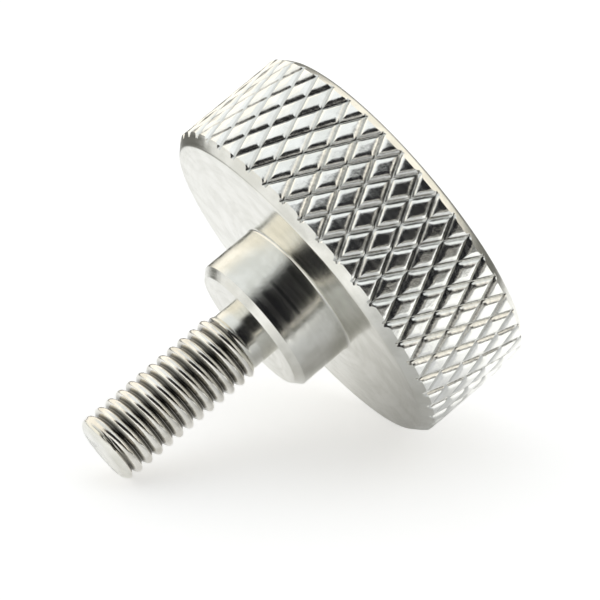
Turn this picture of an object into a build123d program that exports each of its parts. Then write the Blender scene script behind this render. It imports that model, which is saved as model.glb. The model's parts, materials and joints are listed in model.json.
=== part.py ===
from build123d import *
import math
import os

# ---------------------------------------------------------------------------
# Knurled-head thumb screw, turned from one bar of stainless steel.
# It is modelled upright on its tip, about the Z axis, and then laid down as
# it comes to rest: on the front rim of its head and the edge of its tip.
# Millimetres, +Z up, the floor is z = 0.
# ---------------------------------------------------------------------------

# Head: a thick disc with a chamfer round both ends
head_diameter = 20.0
head_thickness = 7.1
head_chamfer = 0.55

# Diamond knurl: two families of V grooves, cut along helices of opposite hand
knurl_helix_angle = 30.0
knurl_count = 45
knurl_depth = 0.25
wheel_difference = 0.01
knurl_flank_angle = 90.0

# Shoulder boss between the head and the stud
boss_diameter = 7.9
boss_length = 3.4
boss_chamfer = 0.4
boss_root_fillet = 0.15

# Stud: M4 x 0.7, kept plain at its major diameter, behind an undercut neck
thread_diameter = 3.94
thread_length = 8.6
tip_chamfer = 0.35
neck_diameter = 3.4
neck_length = 1.4

# Radii
head_radius = head_diameter / 2
boss_radius = boss_diameter / 2
thread_radius = thread_diameter / 2
neck_radius = neck_diameter / 2

# Heights above the tip: the thread runs down to the neck on a 45 degree cone
neck_cone = thread_radius - neck_radius
boss_face = thread_length + neck_length
head_face = boss_face + boss_length
head_back = head_face + head_thickness
rim_height = head_face + head_chamfer

# One helical V groove, run out past both ends of the head
groove_clearance = 0.3
groove_overrun = 0.1 * head_thickness
groove_height = head_thickness + 2 * groove_overrun
groove_lead = math.pi * head_diameter / math.tan(math.radians(knurl_helix_angle))
groove_start = head_face - groove_overrun

# Both families cross on the head's front rim, half a tooth from its lowest
# point, so that the screw rests on the middle of a tooth
knurl_pitch_angle = 360 / knurl_count
turn_to_rim = 360 * (rim_height - groove_start) / groove_lead


def knurl_groove(depth, left_handed):
    """Make one groove cutter of the given depth and hand."""
    flank_slope = math.tan(math.radians(knurl_flank_angle / 2))
    reach = depth + groove_clearance
    with BuildPart() as groove:
        with BuildLine() as path:
            Helix(
                pitch=groove_lead,
                height=groove_height,
                radius=head_radius - depth,
                center=(0, 0, groove_start),
                lefthand=left_handed,
            )
        with BuildSketch(Plane(origin=path.line @ 0, x_dir=(1, 0, 0), z_dir=path.line % 0)):
            with BuildLine():
                Polyline((0, 0), (reach, reach * flank_slope), (reach, -reach * flank_slope), close=True)
            make_face()
        sweep(is_frenet=True)
    return groove.part


with BuildPart() as thumb_screw:
    # Half the outline, turned about the axis
    with BuildSketch(Plane.XZ):
        with BuildLine():
            Polyline(
                (0, 0),
                (thread_radius - tip_chamfer, 0),
                (thread_radius, tip_chamfer),
                (thread_radius, thread_length - neck_cone),
                (neck_radius, thread_length),
                (neck_radius, boss_face),
                (boss_radius - boss_chamfer, boss_face),
                (boss_radius, boss_face + boss_chamfer),
                (boss_radius, head_face),
                (head_radius - head_chamfer, head_face),
                (head_radius, rim_height),
                (head_radius, head_back - head_chamfer),
                (head_radius - head_chamfer, head_back),
                (0, head_back),
                close=True,
            )
        make_face()
    revolve(axis=Axis.Z)

    # Small radius left by the tool where the boss meets the head
    boss_root = thumb_screw.edges().filter_by(GeomType.CIRCLE).filter_by_position(
        Axis.Z, head_face - 0.01, head_face + 0.01
    ).sort_by(SortBy.RADIUS)[0]
    fillet(boss_root, radius=boss_root_fillet)

    # Knurl: each family is one groove repeated round the head
    with PolarLocations(0, knurl_count, start_angle=knurl_pitch_angle / 2 - turn_to_rim):
        add(knurl_groove(knurl_depth, left_handed=False), mode=Mode.SUBTRACT)
    with PolarLocations(0, knurl_count, start_angle=knurl_pitch_angle / 2 + turn_to_rim):
        add(knurl_groove(knurl_depth - wheel_difference, left_handed=True), mode=Mode.SUBTRACT)

# Lay it down: the head's front rim and the tip's edge touch the floor together
rest_tilt = math.degrees(math.atan2(head_radius - thread_radius, rim_height - tip_chamfer))
lying = thumb_screw.part.rotate(Axis.Y, 90 - rest_tilt)
box = lying.bounding_box()
thumb_screw.part = lying.translate((-box.center().X, -box.center().Y, -box.min.Z))
thumb_screw.part.label = "thumb_screw"

os.makedirs("parts", exist_ok=True)
export_step(thumb_screw.part, "parts/thumb_screw.step")
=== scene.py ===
"""Knurled-head thumb screw: the finished look of one turned stainless steel piece."""

import json
import logging
import math
from collections.abc import Callable, Iterator
from contextlib import contextmanager
from dataclasses import dataclass, field
from enum import Enum

import bmesh
import bpy
from mathutils import Matrix, Vector


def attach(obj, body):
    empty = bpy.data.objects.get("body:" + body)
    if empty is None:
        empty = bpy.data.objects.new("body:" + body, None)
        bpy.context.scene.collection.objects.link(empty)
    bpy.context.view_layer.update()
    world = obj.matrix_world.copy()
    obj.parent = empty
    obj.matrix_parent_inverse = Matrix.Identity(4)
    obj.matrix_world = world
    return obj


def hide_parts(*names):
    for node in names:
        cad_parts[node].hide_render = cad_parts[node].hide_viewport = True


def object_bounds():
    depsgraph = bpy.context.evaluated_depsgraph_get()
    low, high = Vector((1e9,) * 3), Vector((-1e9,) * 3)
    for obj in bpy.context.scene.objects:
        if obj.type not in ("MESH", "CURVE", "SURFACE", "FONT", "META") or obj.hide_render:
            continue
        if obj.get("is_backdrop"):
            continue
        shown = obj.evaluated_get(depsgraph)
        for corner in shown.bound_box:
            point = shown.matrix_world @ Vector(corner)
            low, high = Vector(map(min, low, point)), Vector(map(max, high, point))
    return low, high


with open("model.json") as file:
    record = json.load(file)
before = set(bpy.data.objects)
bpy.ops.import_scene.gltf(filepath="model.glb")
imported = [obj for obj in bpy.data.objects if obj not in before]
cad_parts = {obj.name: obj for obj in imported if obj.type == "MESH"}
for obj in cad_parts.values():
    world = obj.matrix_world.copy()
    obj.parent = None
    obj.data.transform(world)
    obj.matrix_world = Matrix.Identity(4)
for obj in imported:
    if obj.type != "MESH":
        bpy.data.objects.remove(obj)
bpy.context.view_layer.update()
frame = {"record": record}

log = logging.getLogger("thumb_screw")

Point = tuple[float, float, float]
Colour = tuple[float, float, float, float]

TAU = 2 * math.pi
MM = 0.001  # one millimetre in metres
WELD_STRIP = 0.002  # gap in millimetres that closes in the knurled strip
WELD_ROUND = 0.0005  # gap in millimetres that closes at the seam of a turned surface
CUT_SLACK = 1e-5  # how near a cut a vertex has to be to count as on it, in millimetres
ON_CUT = 1e-4  # how near the chamfer's plane an edge has to be to count as its border
LEVEL = 0.001  # greatest rise of an edge that counts as level, in millimetres


class Finish(Enum):
    """The finishes on the screw, each with its own material slot on the mesh."""

    TURNED = 0
    KNURLED = 1
    ROLLED = 2


# ---------------------------------------------------------------------------
# Workshop helpers
# ---------------------------------------------------------------------------


def clear_selection() -> None:
    """Deselect every object, leaving none active."""
    bpy.ops.object.select_all(action="DESELECT")
    bpy.context.view_layer.objects.active = None


def pick(*pieces: bpy.types.Object) -> None:
    """Select the given objects only, with the first one active.

    Args:
        *pieces: The objects to select.
    """
    clear_selection()
    for piece in pieces:
        piece.select_set(True)
    bpy.context.view_layer.objects.active = pieces[0]


@contextmanager
def editing(piece: bpy.types.Object) -> Iterator[None]:
    """Open a piece in edit mode with all of it selected, and close it again afterwards.

    Args:
        piece: The object to edit.

    Yields:
        Nothing; the mesh operators in the block work on the piece.
    """
    pick(piece)
    bpy.ops.object.mode_set(mode="EDIT")
    bpy.ops.mesh.select_all(action="SELECT")
    yield
    bpy.ops.object.mode_set(mode="OBJECT")


def apply_modifier(piece: bpy.types.Object, kind: str, **settings: object) -> None:
    """Add a modifier with the given settings to a piece and apply it.

    Args:
        piece: The object that takes the modifier.
        kind: The modifier's type, such as ``ARRAY``.
        **settings: Values for the modifier's own fields.
    """
    pick(piece)
    modifier = piece.modifiers.new(kind.lower(), kind)
    for name, value in settings.items():
        setattr(modifier, name, value)
    bpy.ops.object.modifier_apply(modifier=modifier.name)


def bake_placement(piece: bpy.types.Object, placement: Matrix) -> None:
    """Move a piece by a matrix and write the move into its mesh.

    Args:
        piece: The object to move.
        placement: Where the piece's own axes go.
    """
    piece.matrix_world = placement
    pick(piece)
    bpy.ops.object.transform_apply(location=True, rotation=True, scale=True)


def select_edges(piece: bpy.types.Object, wanted: Callable[[bmesh.types.BMEdge], bool]) -> int:
    """In edit mode, select only the edges that a test accepts.

    Args:
        piece: The object being edited.
        wanted: The test.

    Returns:
        How many edges are selected.
    """
    bpy.ops.mesh.select_mode(type="EDGE")
    bpy.ops.mesh.select_all(action="DESELECT")
    mesh = bmesh.from_edit_mesh(piece.data)
    count = 0
    for edge in mesh.edges:
        if wanted(edge):
            edge.select_set(True)
            count += 1
    mesh.select_flush_mode()
    bmesh.update_edit_mesh(piece.data)
    return count


def both_ends(edge: bmesh.types.BMEdge, test: Callable[[Vector], bool]) -> bool:
    """Tell whether a test holds at both ends of an edge."""
    return all(test(vertex.co) for vertex in edge.verts)


def weld(piece: bpy.types.Object, distance: float) -> None:
    """Merge the vertices of a piece that lie closer together than a distance."""
    with editing(piece):
        bpy.ops.mesh.remove_doubles(threshold=distance)


def wire_piece(name: str, points: list[Point]) -> bpy.types.Object:
    """Make an object that holds one open outline.

    Args:
        name: The object's name.
        points: The outline's corners, in order.

    Returns:
        The new object, linked to the scene.
    """
    mesh = bpy.data.meshes.new(name)
    mesh.from_pydata(points, [(i, i + 1) for i in range(len(points) - 1)], [])
    piece = bpy.data.objects.new(name, mesh)
    bpy.context.scene.collection.objects.link(piece)
    return piece


# ---------------------------------------------------------------------------
# Sub-assemblies, modelled in millimetres about the Z axis with the tip at zero
# ---------------------------------------------------------------------------


@dataclass
class KnurledBand:
    """The rim of the head: one tooth repeated over a flat strip, cut and bent round."""

    radius: float = 10.0
    width: float = 7.1
    chamfer: float = 0.55
    front_round: float = 0.1
    back_round: float = 0.3
    round_steps: int = 3
    teeth_round: int = 45
    helix_angle: float = math.radians(30)
    flank_steps: tuple[tuple[float, float], ...] = (
        (0.05, 0.022),
        (0.045, 0.056),
        (0.11, 0.080),
        (0.10, 0.040),
    )
    facets: int = 5

    @property
    def groove_depth(self) -> float:
        """Depth of the grooves below the tops of the teeth."""
        return sum(depth for _, depth in self.flank_steps)

    @property
    def pitch_round(self) -> float:
        """Distance from tooth to tooth round the head."""
        return TAU * self.radius / self.teeth_round

    @property
    def pitch_along(self) -> float:
        """Distance from tooth to tooth along the axis."""
        return self.pitch_round / math.tan(self.helix_angle)

    def model_tooth(self) -> bpy.types.Object:
        """Model one flat-topped tooth with half a groove on each of its four sides.

        Returns:
            The tooth, with its top at zero height.
        """
        clear_selection()
        # A square of this side has a diagonal of one, so it measures one pitch across once turned.
        bpy.ops.mesh.primitive_plane_add(size=math.sqrt(0.5), location=(0, 0, 0))
        tooth = bpy.context.active_object
        tooth.name = "knurl_tooth"
        bake_placement(tooth, Matrix.Rotation(math.pi / 4, 4, "Z"))
        stretch = Matrix.Diagonal((self.pitch_round, self.pitch_along, 1, 1))
        bake_placement(tooth, Matrix.Translation((0, 0, -self.groove_depth)) @ stretch)
        with editing(tooth):
            for thickness, depth in self.flank_steps:
                bpy.ops.mesh.inset(thickness=thickness, depth=depth)
            select_edges(tooth, lambda e: abs(e.verts[0].co.z - e.verts[1].co.z) < LEVEL)
            bpy.ops.mesh.subdivide(number_cuts=self.facets - 1)
        return tooth

    def lay_strip(self, strip: bpy.types.Object) -> None:
        """Repeat the tooth over a flat strip as long as the head's girth.

        Args:
            strip: The tooth, which becomes the strip.
        """
        start = (self.pitch_round / 2, self.chamfer - self.pitch_along / 2, 0)
        bake_placement(strip, Matrix.Translation(start))
        rows = math.ceil((self.width + self.pitch_along) / self.pitch_along)
        runs = (
            (2, (self.pitch_round / 2, self.pitch_along / 2, 0)),
            (rows, (0, self.pitch_along, 0)),
            (self.teeth_round, (self.pitch_round, 0, 0)),
        )
        for count, step in runs:
            apply_modifier(
                strip,
                "ARRAY",
                count=count,
                use_relative_offset=False,
                use_constant_offset=True,
                constant_offset_displace=step,
            )
        weld(strip, WELD_STRIP)

    def cut_chamfer(self, strip: bpy.types.Object, outer_edge: float, side: int) -> None:
        """Cut one long side of the strip at 45 degrees, with the chamfer's flat and its rounded corner.

        Args:
            strip: The flat strip.
            outer_edge: Where that side of the head ends.
            side: -1 for the front of the head, 1 for its back.
        """
        corner = Vector((0, outer_edge, -self.chamfer))
        normal = Vector((0, side, 1)).normalized()
        reach = self.back_round if side > 0 else self.front_round
        on_flat = corner + reach * Vector((0, -side, 1)).normalized()
        on_end = corner - reach * Vector((0, 0, 1))

        def on_cut(point: Vector) -> bool:
            """Tell whether a point lies on the cut."""
            return abs((point - corner).dot(normal)) < ON_CUT

        with editing(strip):
            bpy.ops.mesh.bisect(plane_co=corner, plane_no=normal, clear_outer=True, threshold=CUT_SLACK)
            select_edges(strip, lambda e: e.is_boundary and both_ends(e, on_cut))
            for step in range(self.round_steps + 1):
                share = step / self.round_steps
                stop = on_flat * (1 - share) ** 2 + corner * 2 * share * (1 - share) + on_end * share ** 2
                bpy.ops.mesh.extrude_edges_move()
                bpy.ops.transform.resize(value=(1, 0, 0), center_override=stop)

    def bend_round(self, strip: bpy.types.Object) -> None:
        """Bend the strip into a ring about the Z axis and close its seam.

        Args:
            strip: The flat strip, which becomes the ring.
        """
        bake_placement(strip, Matrix.Rotation(math.pi / 2, 4, "X"))
        along = [vertex.co.x for vertex in strip.data.vertices]
        turn = (max(along) - min(along)) / self.radius
        apply_modifier(strip, "SIMPLE_DEFORM", deform_method="BEND", deform_axis="Z", angle=turn)
        to_axis = Matrix.Translation((0, -self.radius, 0))
        bake_placement(strip, Matrix.Rotation(math.pi / 2, 4, "Z") @ to_axis)
        weld(strip, WELD_STRIP)

    def build(self, head_face: float) -> bpy.types.Object:
        """Build the band at its place on the screw.

        Args:
            head_face: Height of the head's front face above the tip.

        Returns:
            The open ring, with a clean circle at each end.
        """
        strip = self.model_tooth()
        self.lay_strip(strip)
        self.cut_chamfer(strip, 0.0, -1)
        self.cut_chamfer(strip, self.width, 1)
        self.bend_round(strip)
        bake_placement(strip, Matrix.Translation((0, 0, head_face)))
        return strip


@dataclass
class Stud:
    """The stud: a rolled M4 thread that fades into the plain neck below the boss."""

    radius: float = 1.97
    pitch: float = 0.7
    thread_depth: float = 0.34
    flank_angle: float = math.radians(30)
    crest_width: float = 0.25
    crest_round: float = 0.115
    crest_segments: int = 4
    root_round: float = 0.025
    root_segments: int = 2
    rounded_edge: float = 0.02
    long_edge: float = 0.12
    flank_cuts: int = 2
    length: float = 10.0
    thread_length: float = 9.1
    fade_length: float = 0.65
    neck_radius: float = 1.7
    tip_chamfer: float = 0.35
    tip_round: float = 0.5
    start_length: float = 0.55
    start_fade: float = 0.3
    pitches_below_tip: float = 1.1
    spare_turns: int = 2
    steps_round: int = 112

    def outline(self) -> list[Point]:
        """Give one pitch of the thread's section, from root to root.

        Returns:
            Points of the 60 degree section, with the crest in the middle.
        """
        flank = self.thread_depth * math.tan(self.flank_angle)
        crest = self.crest_width / 2
        root = self.radius - self.thread_depth
        middle = self.pitch / 2
        return [
            (root, 0, 0),
            (root, 0, middle - crest - flank),
            (self.radius, 0, middle - crest),
            (self.radius, 0, middle + crest),
            (root, 0, middle + crest + flank),
            (root, 0, self.pitch),
        ]

    def round_section(self, stud: bpy.types.Object) -> None:
        """Round the section's corners at the crest and at the root, and divide its long edges.

        Args:
            stud: The section as a wire.
        """
        middle = (self.radius + self.radius - self.thread_depth) / 2
        crest = (True, self.crest_round, self.crest_segments)
        root = (False, self.root_round, self.root_segments)
        with editing(stud):
            bpy.ops.mesh.select_all(action="DESELECT")
            bpy.ops.mesh.select_mode(type="VERT")
            for on_crest, offset, segments in (crest, root):
                mesh = bmesh.from_edit_mesh(stud.data)
                for vertex in mesh.verts:
                    inner = len(vertex.link_edges) == 2 and (vertex.co.x > middle) == on_crest
                    rounded = any(e.calc_length() < self.rounded_edge for e in vertex.link_edges)
                    vertex.select_set(inner and not rounded)
                bmesh.update_edit_mesh(stud.data)
                bpy.ops.mesh.bevel(offset=offset, segments=segments, affect="VERTICES")
                bpy.ops.mesh.select_all(action="DESELECT")
            select_edges(stud, lambda e: e.calc_length() > self.long_edge)
            bpy.ops.mesh.subdivide(number_cuts=self.flank_cuts)

    def wind(self, stud: bpy.types.Object) -> None:
        """Wind the section round the axis, from below the tip to past the neck.

        Args:
            stud: The section as a wire, which becomes the thread.
        """
        bake_placement(stud, Matrix.Translation((0, 0, -self.pitches_below_tip * self.pitch)))
        apply_modifier(
            stud,
            "SCREW",
            angle=TAU,
            screw_offset=self.pitch,
            iterations=math.ceil(self.length / self.pitch) + self.spare_turns,
            steps=self.steps_round,
            render_steps=self.steps_round,
            use_normal_calculate=True,
        )
        weld(stud, WELD_ROUND)

    def section_radius(self, radius: float, height: float) -> float:
        """Give the true radius at a height, where the thread starts, fades out or is rounded at the tip.

        Args:
            radius: The full thread's radius at this point.
            height: Height above the tip.

        Returns:
            The radius with the start, the run-out and the rounded tip.
        """
        share = min(max((height - self.thread_length + self.fade_length) / self.fade_length, 0), 1)
        share = share * share * (3 - 2 * share)
        faded = radius + (self.neck_radius - radius) * share
        start = min(max((self.start_length - height) / self.start_fade, 0), 1)
        faded += (self.radius - faded) * start
        rise = 1 - min(max(height, 0) / self.tip_round, 1)
        return min(faded, self.radius - self.tip_round * (1 - math.sqrt(1 - rise * rise)))

    def trim(self, stud: bpy.types.Object) -> None:
        """Cut the stud off flat where it meets the boss and at the tip, and close the tip.

        Args:
            stud: The thread, longer than the stud at both ends.
        """
        with editing(stud):
            for height, side, fill in ((self.length, 1, False), (0.0, -1, True)):
                bpy.ops.mesh.select_all(action="SELECT")
                bpy.ops.mesh.bisect(
                    plane_co=(0, 0, height),
                    plane_no=(0, 0, side),
                    clear_outer=True,
                    use_fill=fill,
                    threshold=CUT_SLACK,
                )

    def build(self) -> bpy.types.Object:
        """Build the stud, closed at the tip and open where it meets the boss.

        Returns:
            The stud as one mesh.
        """
        stud = wire_piece("stud", self.outline())
        self.round_section(stud)
        self.wind(stud)
        for vertex in stud.data.vertices:
            round_part = Vector((vertex.co.x, vertex.co.y))
            wanted = self.section_radius(round_part.length, vertex.co.z)
            round_part *= wanted / round_part.length
            vertex.co.x, vertex.co.y = round_part
        self.trim(stud)
        return stud


@dataclass
class TurnedBody:
    """The plain turned surfaces: boss, boss face, head face and the back of the head."""

    stud_length: float = 10.0
    boss_length: float = 3.4
    boss_radius: float = 3.95
    boss_chamfer: float = 0.4
    root_fillet: float = 0.15
    fillet_steps: int = 5
    head_width: float = 7.1
    head_radius: float = 10.0
    head_chamfer: float = 0.55
    neck_radius: float = 1.7
    margin: float = 0.5
    neck_margin: float = 0.12
    steps_round: int = 288

    @property
    def head_face(self) -> float:
        """Height of the head's front face above the tip."""
        return self.stud_length + self.boss_length

    def front_outline(self) -> list[Point]:
        """Give the outline from the neck over the boss to the head's front face.

        Returns:
            Points from the inside out.
        """
        turns = [math.radians(90 * i / self.fillet_steps) for i in range(self.fillet_steps + 1)]
        fillet = [
            (
                self.boss_radius + self.root_fillet * (1 - math.cos(turn)),
                0,
                self.head_face - self.root_fillet * (1 - math.sin(turn)),
            )
            for turn in turns
        ]
        return [
            (self.neck_radius + self.neck_margin, 0, self.stud_length),
            (self.boss_radius - self.boss_chamfer, 0, self.stud_length),
            (self.boss_radius, 0, self.stud_length + self.boss_chamfer),
            *fillet,
            (self.head_radius - self.head_chamfer - self.margin, 0, self.head_face),
        ]

    def spin(self, name: str, points: list[Point]) -> bpy.types.Object:
        """Turn an outline about the Z axis.

        Args:
            name: The new object's name.
            points: The outline.

        Returns:
            The turned surface.
        """
        piece = wire_piece(name, points)
        with editing(piece):
            bpy.ops.mesh.spin(steps=self.steps_round, angle=TAU, center=(0, 0, 0), axis=(0, 0, 1))
        weld(piece, WELD_ROUND)
        return piece

    def build(self) -> list[bpy.types.Object]:
        """Build the front and back surfaces.

        Returns:
            The two turned surfaces, open where the band and the stud join them.
        """
        back_height = self.head_face + self.head_width
        back_outline = [
            (0, 0, back_height),
            (self.head_radius - self.head_chamfer - self.margin, 0, back_height),
        ]
        return [self.spin("front", self.front_outline()), self.spin("back", back_outline)]


# ---------------------------------------------------------------------------
# Finishes
# ---------------------------------------------------------------------------


@dataclass(frozen=True)
class Ramp:
    """A smooth ramp: where it starts and ends, and its value at each end."""

    start: float
    end: float
    first: float = 0.0
    last: float = 1.0


class NodeBench:
    """A small bench for wiring one node tree."""

    def __init__(self, tree: bpy.types.NodeTree) -> None:
        """Take a node tree to work on."""
        self.tree = tree

    def add(self, kind: str, inputs: dict | None = None, **settings: object) -> bpy.types.Node:
        """Add a node, with its fields and inputs set.

        Args:
            kind: The node's type.
            inputs: Values, or output sockets to link, by input name or index.
            **settings: Values for the node's own fields.

        Returns:
            The new node.
        """
        node = self.tree.nodes.new(kind)
        for name, value in settings.items():
            setattr(node, name, value)
        for name, value in (inputs or {}).items():
            self.plug(value, node.inputs[name])
        return node

    def plug(self, value: object, socket: bpy.types.NodeSocket) -> None:
        """Link an output socket to an input, or set the input to a value.

        Args:
            value: The output socket or the value.
            socket: The input.
        """
        if isinstance(value, bpy.types.NodeSocket):
            self.tree.links.new(value, socket)
        else:
            socket.default_value = value

    def math(self, operation: str, *values: object) -> bpy.types.NodeSocket:
        """Add a Math node and give its output."""
        return self.add("ShaderNodeMath", dict(enumerate(values)), operation=operation).outputs[0]

    def dot(self, first: object, second: object) -> bpy.types.NodeSocket:
        """Add a dot product of two vectors and give the result."""
        node = self.add("ShaderNodeVectorMath", {0: first, 1: second}, operation="DOT_PRODUCT")
        return node.outputs["Value"]

    def climb(self, value: object, ramp: Ramp) -> bpy.types.NodeSocket:
        """Send a value up a ramp and give the result.

        Args:
            value: The output socket to read.
            ramp: The ramp.

        Returns:
            The ramp's value, held level outside its ends.
        """
        inputs = {
            "Value": value,
            "From Min": ramp.start,
            "From Max": ramp.end,
            "To Min": ramp.first,
            "To Max": ramp.last,
        }
        node = self.add("ShaderNodeMapRange", inputs, interpolation_type="SMOOTHSTEP")
        return node.outputs["Result"]

    def noise(self, inputs: dict, **settings: object) -> bpy.types.NodeSocket:
        """Add a Noise Texture node and give its value."""
        return self.add("ShaderNodeTexNoise", inputs, **settings).outputs[0]

    def blend(self, share: object, first: object, second: object) -> bpy.types.NodeSocket:
        """Mix two colours by a share.

        Args:
            share: How much of the second colour there is.
            first: The first colour.
            second: The second colour.

        Returns:
            The mixed colour.
        """
        node = self.add("ShaderNodeMix", data_type="RGBA")
        self.plug(share, node.inputs[0])
        self.plug(first, node.inputs[6])  # colour inputs A and B of the Mix node
        self.plug(second, node.inputs[7])
        return node.outputs[2]


def new_group(name: str, inputs: dict[str, float], outputs: tuple[str, ...]) -> bpy.types.NodeTree:
    """Make an empty shader group with named number sockets.

    Args:
        name: The group's name.
        inputs: Defaults by name.
        outputs: The outputs' names.

    Returns:
        The group.
    """
    group = bpy.data.node_groups.new(name, "ShaderNodeTree")
    for socket_name, default in inputs.items():
        socket = group.interface.new_socket(socket_name, in_out="INPUT", socket_type="NodeSocketFloat")
        socket.default_value = default
    for socket_name in outputs:
        group.interface.new_socket(socket_name, in_out="OUTPUT", socket_type="NodeSocketFloat")
    return group


@dataclass(frozen=True)
class LatheMarks:
    """Marks that a lathe tool leaves round the screw's axis, shared by every finish; sizes in millimetres."""

    fine_pitch: float = 0.03
    coarse_pitch: float = 0.2
    coarse_share: float = 0.4
    wander_scale: float = 0.35
    wander_depth: float = 0.12
    blotch_scale: float = 0.8
    mottle_scale: float = 2.2
    mottle_roughness: float = 0.6

    def group(self, placement: Matrix) -> bpy.types.NodeTree:
        """Make the shader group.

        Args:
            placement: Where the upright screw lies, to read the axis from.

        Returns:
            A group that puts out the marks' height, masks and the distance from the axis.
        """
        group = new_group(
            "lathe marks",
            {
                "Fine Pitch": self.fine_pitch,
                "Coarse Pitch": self.coarse_pitch,
                "Coarse Share": self.coarse_share,
            },
            ("Height", "Blotches", "Rings", "Radius", "Mottle"),
        )
        bench = NodeBench(group)
        entry = bench.add("NodeGroupInput")
        upright = placement.inverted()
        place = bench.add("ShaderNodeMapping", {
            "Vector": bench.add("ShaderNodeTexCoord").outputs["Object"],
            "Location": upright.to_translation(),
            "Rotation": upright.to_euler(),
            "Scale": upright.to_scale(),
        }, vector_type="POINT").outputs[0]
        parts = bench.add("ShaderNodeSeparateXYZ", {0: place}).outputs
        squares = [bench.math("POWER", parts[i], 2.0) for i in (0, 1)]
        reach = bench.math("SQRT", bench.math("ADD", *squares))
        travel = bench.math("ADD", reach, parts[2])
        wander = bench.noise({"Vector": place, "Scale": self.wander_scale, "Detail": 2.0})
        wound = bench.math("ADD", travel, bench.math("MULTIPLY", wander, self.wander_depth))
        fine = bench.noise({
            "W": bench.math("DIVIDE", wound, entry.outputs["Fine Pitch"]), "Scale": 1.0, "Detail": 3.0,
        }, noise_dimensions="1D")
        coarse = bench.noise({
            "W": bench.math("DIVIDE", wound, entry.outputs["Coarse Pitch"]), "Scale": 1.0, "Detail": 2.0,
        }, noise_dimensions="1D")
        share = bench.math("MULTIPLY", coarse, entry.outputs["Coarse Share"])
        bench.add("NodeGroupOutput", {
            "Height": bench.math("ADD", fine, share),
            "Blotches": bench.noise({"Vector": place, "Scale": self.blotch_scale, "Detail": 4.0}),
            "Rings": coarse,
            "Radius": reach,
            "Mottle": bench.noise({
                "Vector": place, "Scale": self.mottle_scale, "Detail": 5.0,
                "Roughness": self.mottle_roughness,
            }),
        })
        return group


@dataclass(frozen=True)
class SteelFinish:
    """One finish of stainless steel, with its own tool marks and, where a groove ramp is given, painted shade
    in the grooves; sizes in millimetres.
    """

    name: str
    light: Colour
    dark: Colour
    roughness: tuple[float, float]
    fine_pitch: float
    coarse_pitch: float
    coarse_share: float
    mark_height: float
    mottle_height: float
    # painted shade: below the groove ramp's radius the colour darkens to the dark tone times groove_shade
    groove: Ramp | None = None
    groove_shade: float = 1.0
    blotch_edge: Ramp = Ramp(0.35, 0.65)
    ring_span: tuple[float, float] = (0.3, 0.7)

    def tint(self, bench: NodeBench, marks: bpy.types.Node) -> bpy.types.NodeSocket:
        """Wire the colour: two tones in soft blotches, with painted shade darker down in the grooves.

        Args:
            bench: The material's bench.
            marks: The node of lathe marks.

        Returns:
            The colour.
        """
        tint = bench.blend(bench.climb(marks.outputs["Blotches"], self.blotch_edge), self.dark, self.light)
        if self.groove is None:
            return tint
        # painted shade: darker towards the groove bottoms, by the distance from the axis
        depth = bench.climb(marks.outputs["Radius"], self.groove)
        painted_groove_shade = tuple(channel * self.groove_shade for channel in self.dark[:3]) + (1,)
        return bench.blend(depth, tint, painted_groove_shade)

    def material(self, lathe: bpy.types.NodeTree) -> bpy.types.Material:
        """Make the material.

        Args:
            lathe: The shared group of lathe marks.

        Returns:
            The new material.
        """
        material = bpy.data.materials.new(self.name)
        material.use_nodes = True
        material.node_tree.nodes.clear()
        bench = NodeBench(material.node_tree)
        marks = bench.add("ShaderNodeGroup", node_tree=lathe)
        marks.inputs["Fine Pitch"].default_value = self.fine_pitch
        marks.inputs["Coarse Pitch"].default_value = self.coarse_pitch
        marks.inputs["Coarse Share"].default_value = self.coarse_share
        turned = bench.add("ShaderNodeBump", {
            "Height": marks.outputs["Height"],
            "Distance": self.mark_height * MM,
            "Strength": 1.0,
        })
        bump = bench.add("ShaderNodeBump", {
            "Height": marks.outputs["Mottle"],
            "Distance": self.mottle_height * MM,
            "Strength": 1.0,
            "Normal": turned.outputs[0],
        })
        shader = bench.add("ShaderNodeBsdfPrincipled", {
            "Base Color": self.tint(bench, marks),
            "Roughness": bench.climb(marks.outputs["Rings"], Ramp(*self.ring_span, *self.roughness)),
            "Normal": bump.outputs[0],
            "Metallic": 1.0,
        })
        bench.add("ShaderNodeOutputMaterial", {0: shader.outputs[0]})
        return material


STEEL_FINISHES = {
    Finish.TURNED: SteelFinish(
        name="turned_steel",
        light=(0.81, 0.805, 0.755, 1),
        dark=(0.71, 0.705, 0.65, 1),
        roughness=(0.15, 0.24),
        fine_pitch=0.05,
        coarse_pitch=0.35,
        coarse_share=0.5,
        mark_height=0.0006,
        mottle_height=0.007,
    ),
    Finish.KNURLED: SteelFinish(
        name="knurled_steel",
        light=(0.97, 0.97, 0.94, 1),
        dark=(0.87, 0.87, 0.83, 1),
        roughness=(0.19, 0.27),
        fine_pitch=0.06,
        coarse_pitch=0.3,
        coarse_share=0.5,
        mark_height=0.0015,
        mottle_height=0.020,
        # painted shade along the bottoms of the knurl's grooves
        groove=Ramp(9.852, 9.922, 1, 0),
        groove_shade=0.85,
    ),
    Finish.ROLLED: SteelFinish(
        name="rolled_steel",
        light=(0.88, 0.865, 0.82, 1),
        dark=(0.70, 0.68, 0.62, 1),
        roughness=(0.12, 0.20),
        fine_pitch=0.06,
        coarse_pitch=0.2,
        coarse_share=0.5,
        mark_height=0.0012,
        mottle_height=0.012,
        # painted shade in the thread's roots, darker towards the root
        groove=Ramp(1.64, 1.90, 1, 0),
        groove_shade=0.30,
    ),
}


# ---------------------------------------------------------------------------
# The whole screw
# ---------------------------------------------------------------------------


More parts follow.
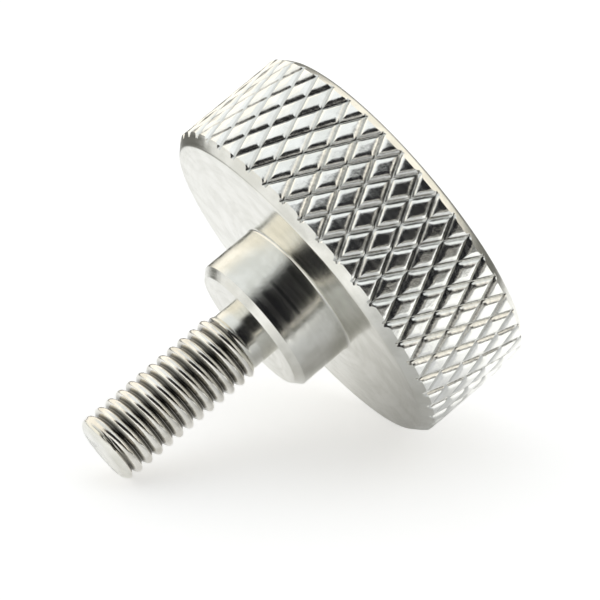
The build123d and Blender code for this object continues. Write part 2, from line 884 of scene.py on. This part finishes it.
@dataclass
class ThumbScrew:
    """The screw in one piece, laid down where the frame has it; sizes in millimetres."""

    stud: Stud = field(default_factory=Stud)
    body: TurnedBody = field(default_factory=TurnedBody)
    band: KnurledBand = field(default_factory=KnurledBand)
    height_slack: float = 0.002
    radius_slack: float = 0.004
    plain_end: float = 0.3
    knurl_inset: float = 0.01
    chamfer_slack: float = 0.02
    smooth_angle: float = math.radians(32)

    def placement(self) -> Matrix:
        """Work out where the upright screw goes in the frame.

        Returns:
            The matrix from millimetres about the screw's axis to the frame's metres.
        """
        stud_mount = next(m for m in frame["record"]["mounts"] if m["name"] == "threaded_stud")
        toward_head = -Vector(stud_mount["axis"]).normalized()
        half_wall = stud_mount["dims"]["length_mm"] / 2 * MM
        tip = Vector(stud_mount["pos_m"]) - toward_head * (half_wall + self.stud.tip_chamfer * MM)
        across = Vector((0, 1, 0))
        down = across.cross(toward_head)
        turn = Matrix((down, across, toward_head)).transposed().to_4x4()
        return Matrix.Translation(tip) @ turn @ Matrix.Scale(MM, 4)

    def bridge(self, piece: bpy.types.Object, height: float, radii: tuple[float, float]) -> None:
        """Join two open circles in one plane across the axis with a ring of faces.

        Args:
            piece: The joined mesh.
            height: The plane's height above the tip.
            radii: The two circles' radii.
        """
        def on_circle(point: Vector) -> bool:
            """Tell whether a point is on either circle."""
            reach = math.hypot(point.x, point.y)
            in_plane = abs(point.z - height) < self.height_slack
            return in_plane and any(abs(reach - r) < self.radius_slack for r in radii)

        with editing(piece):
            count = select_edges(piece, lambda e: e.is_boundary and both_ends(e, on_circle))
            log.info("bridge at %.2f mm over %d edges", height, count)
            bpy.ops.mesh.bridge_edge_loops()

    def mark_finishes(self, piece: bpy.types.Object) -> None:
        """Give each face the material slot of its finish, by its place on the upright screw.

        Args:
            piece: The screw, still upright.
        """
        flat = self.body.head_radius - self.body.head_chamfer
        front = self.body.head_face
        back = front + self.body.head_width
        for face in piece.data.polygons:
            reach = math.hypot(face.center.x, face.center.y)
            inset = min(face.center.z - front, back - face.center.z)
            on_chamfer = reach - flat > inset - self.chamfer_slack
            finish = Finish.TURNED
            if self.plain_end < face.center.z < self.stud.thread_length - self.plain_end:
                finish = Finish.ROLLED
            elif inset > self.knurl_inset and reach > flat and not on_chamfer:
                finish = Finish.KNURLED
            face.material_index = finish.value

    def join_parts(self) -> bpy.types.Object:
        """Build the sub-assemblies and join them into one closed mesh.

        Returns:
            The screw, still upright.
        """
        stud = self.stud.build()
        log.info("stud: %d faces", len(stud.data.polygons))
        band = self.band.build(self.body.head_face)
        log.info("knurled band: %d faces", len(band.data.polygons))
        front, back = self.body.build()
        pick(front, back, band, stud)
        bpy.ops.object.join()
        screw = bpy.context.active_object
        screw.name = "thumb_screw_turned"
        flat = self.body.head_radius - self.body.head_chamfer
        neck = self.body.neck_radius
        inner = flat - self.body.margin
        self.bridge(screw, self.body.head_face, (flat - self.band.front_round, inner))
        self.bridge(screw, self.body.head_face + self.body.head_width, (flat - self.band.back_round, inner))
        self.bridge(screw, self.body.stud_length, (neck, neck + self.body.neck_margin))
        return screw

    def build(self) -> bpy.types.Object:
        """Build the screw from its sub-assemblies and lay it down.

        Returns:
            The finished object.
        """
        screw = self.join_parts()
        self.mark_finishes(screw)
        with editing(screw):
            bpy.ops.mesh.delete_loose()
            bpy.ops.mesh.select_all(action="SELECT")
            bpy.ops.mesh.normals_make_consistent(inside=False)
        bake_placement(screw, self.placement())
        bpy.ops.object.shade_smooth_by_angle(angle=self.smooth_angle)
        open_edges = self.count_open_edges(screw)
        log.info("thumb screw: %d faces, %d open edges", len(screw.data.polygons), open_edges)
        return screw

    def dress(self, screw: bpy.types.Object) -> None:
        """Put the finishes on the screw, in the order of their slots.

        Args:
            screw: The built screw.
        """
        lathe = LatheMarks().group(self.placement())
        for finish in Finish:
            screw.data.materials.append(STEEL_FINISHES[finish].material(lathe))

    def count_open_edges(self, piece: bpy.types.Object) -> int:
        """Count the edges that don't join exactly two faces.

        Args:
            piece: The object to look over.

        Returns:
            The number of such edges, which is none for a closed mesh.
        """
        mesh = bmesh.new()
        mesh.from_mesh(piece.data)
        count = sum(1 for edge in mesh.edges if len(edge.link_faces) != 2)
        mesh.free()
        return count


# ---------------------------------------------------------------------------
# Studio
# ---------------------------------------------------------------------------


@dataclass(frozen=True)
class CameraStand:
    """The camera and where it stands; the aim is measured from the middle of the part."""

    azimuth: float = math.radians(-29.3)
    elevation: float = math.radians(22.8)
    distance: float = 258.9 * MM
    lens: float = 300.0
    sensor_width: float = 36.0
    clip_start: float = 0.01
    aim_offset: Point = (0.22, -1.06, -1.95)

    def build(self) -> None:
        """Put the camera on its stand and make it the scene's camera."""
        low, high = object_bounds()
        aim = (Vector(low) + Vector(high)) / 2 + Vector(self.aim_offset) * MM
        level = Vector((-math.sin(self.azimuth), math.cos(self.azimuth), 0))
        forward = level * math.cos(self.elevation) - Vector((0, 0, math.sin(self.elevation)))
        data = bpy.data.cameras.new("camera")
        data.lens = self.lens
        data.sensor_width = self.sensor_width
        data.clip_start = self.clip_start
        camera = bpy.data.objects.new("camera", data)
        camera.location = aim - forward * self.distance
        camera.rotation_euler = forward.to_track_quat("-Z", "Y").to_euler()
        bpy.context.scene.collection.objects.link(camera)
        bpy.context.scene.camera = camera


@dataclass(frozen=True)
class PaleFloor:
    """The pale floor, evenly white to the camera; it shows painted light in the steel in the places that the
    ramps mark, and painted shade far off.
    """

    size: float = 4.0
    paper: Colour = (0.64, 0.655, 0.69, 1)
    # painted shade: the floor's dark colour in far-off reflections in the steel
    far_reflection_shade: Colour = (0.20, 0.20, 0.19, 1)
    glow_colour: Colour = (1, 0.99, 0.96, 1)
    camera_lift: float = 0.575
    # painted light: where and how strongly the floor glows in reflections in the steel
    away: Point = (-0.7, 0.7, 0)
    behind: Ramp = Ramp(-8 * MM, 5 * MM)
    beside: Ramp = Ramp(7 * MM, 14 * MM)
    left: Ramp = Ramp(-17 * MM, -9 * MM, 1.4, 1)
    left_end: Ramp = Ramp(-60 * MM, -25 * MM, 1, 0)
    pool_middle: Point = (6 * MM, -12 * MM, 0)
    pool: Ramp = Ramp(40 * MM, 66 * MM, 1, 0)
    strong_glint: float = 0.36
    weak_glint: float = 0.15
    weak_glint_beside: float = 0.22

    def material(self) -> bpy.types.Material:
        """Make the floor's material.

        Returns:
            Pale paper, with a glow that only the camera and reflections see: even to the camera, painted
            glints in places and painted dark far off in reflections.
        """
        material = bpy.data.materials.new("pale_floor")
        material.use_nodes = True
        material.node_tree.nodes.clear()
        bench = NodeBench(material.node_tree)
        paths = bench.add("ShaderNodeLightPath").outputs
        place = bench.add("ShaderNodeTexCoord").outputs["Object"]
        # painted light: ramps by place on the floor, behind, beside and to the left, faded away from the
        # pool's middle
        behind = bench.climb(bench.dot(place, self.away), self.behind)
        sideways = bench.dot(place, (1, 0, 0))
        beside = bench.climb(sideways, self.beside)
        middle = bench.add("ShaderNodeVectorMath", {0: place, 1: self.pool_middle}, operation="DISTANCE")
        near = bench.climb(middle.outputs["Value"], self.pool)
        pool = bench.math("MAXIMUM", near, bench.climb(sideways, self.left_end))
        lit = bench.math("MULTIPLY", bench.math("MAXIMUM", behind, beside), pool)
        lit_left = bench.math("MULTIPLY", lit, bench.climb(sideways, self.left))
        strong = bench.math("MULTIPLY", lit_left, self.strong_glint)
        extra = bench.math("MULTIPLY", beside, self.weak_glint_beside)
        weak = bench.math("MULTIPLY", bench.math("ADD", extra, self.weak_glint), near)
        # painted shade: glossy rays far from the pool see the floor in the dark far colour
        far = bench.math("MULTIPLY", bench.math("SUBTRACT", 1.0, pool), paths["Is Glossy Ray"])
        diffuse = bench.add("ShaderNodeBsdfDiffuse", {"Color": bench.blend(far, self.paper, self.far_reflection_shade)})
        lift = bench.math("MULTIPLY", paths["Is Camera Ray"], self.camera_lift)
        # painted glints: this emission reaches glossy rays only
        shine = bench.math("MULTIPLY", paths["Is Glossy Ray"], bench.math("ADD", strong, weak))
        glow = bench.add("ShaderNodeEmission", {
            "Color": self.glow_colour,
            "Strength": bench.math("ADD", lift, shine),
        })
        both = bench.add("ShaderNodeAddShader", {0: diffuse.outputs[0], 1: glow.outputs[0]})
        bench.add("ShaderNodeOutputMaterial", {0: both.outputs[0]})
        return material

    def build(self) -> None:
        """Lay the floor that the screw rests on."""
        clear_selection()
        bpy.ops.mesh.primitive_plane_add(size=self.size, location=(0, 0, 0))
        floor = bpy.context.active_object
        floor.name = "floor"
        floor.data.materials.append(self.material())
        floor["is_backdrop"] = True


@dataclass(frozen=True)
class SoftRoom:
    """The light: a white room all round, with a dark stretch on the camera's side."""

    dark_azimuth: float = math.radians(-29.3)
    dark: Colour = (0.012, 0.012, 0.014, 1)
    dark_side: Ramp = Ramp(0.28, 0.56)
    dark_from: Ramp = Ramp(-0.01, 0.14)
    wall: Colour = (1.28, 1.22, 1.10, 1)
    ceiling: Colour = (0.93, 0.96, 0.97, 1)
    overhead: Ramp = Ramp(0.45, 0.85)
    skirting: Colour = (0.22, 0.22, 0.21, 1)
    above_skirting: Ramp = Ramp(0.06, 0.26)
    left_half: Ramp = Ramp(0.0, 0.35, 1, 0)
    backdrop: Colour = (1, 1, 1, 1)

    def build(self) -> None:
        """Make the world that lights the scene; the camera itself sees a white backdrop."""
        world = bpy.data.worlds.new("studio")
        bpy.context.scene.world = world
        world.use_nodes = True
        world.node_tree.nodes.clear()
        bench = NodeBench(world.node_tree)
        direction = bench.add("ShaderNodeTexCoord").outputs["Generated"]
        parts = bench.add("ShaderNodeSeparateXYZ", {0: direction}).outputs
        room_side = Vector((math.sin(self.dark_azimuth), -math.cos(self.dark_azimuth), 0))
        dark_side = bench.climb(bench.dot(direction, room_side), self.dark_side)
        dark = bench.math("MULTIPLY", dark_side, bench.climb(parts[2], self.dark_from))
        pale = bench.blend(bench.climb(parts[2], self.overhead), self.wall, self.ceiling)
        above = bench.climb(parts[2], self.above_skirting)
        bright = bench.math("MAXIMUM", above, bench.climb(parts[0], self.left_half))
        walls = bench.blend(bright, self.skirting, pale)
        tone = bench.blend(dark, walls, self.dark)
        paths = bench.add("ShaderNodeLightPath").outputs
        shade = bench.blend(paths["Is Camera Ray"], tone, self.backdrop)
        sky = bench.add("ShaderNodeBackground", {"Color": shade, "Strength": 1.0})
        bench.add("ShaderNodeOutputWorld", {0: sky.outputs[0]})


def main() -> None:
    """Build the screw, dress it and set up the studio."""
    logging.basicConfig(level=logging.INFO, format="%(name)s: %(message)s")
    bpy.context.scene.view_settings.view_transform = "Standard"
    CameraStand().build()
    design = ThumbScrew()
    screw = design.build()
    design.dress(screw)
    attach(screw, "root")
    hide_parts("thumb_screw")
    PaleFloor().build()
    SoftRoom().build()


if __name__ == "__main__":
    main()
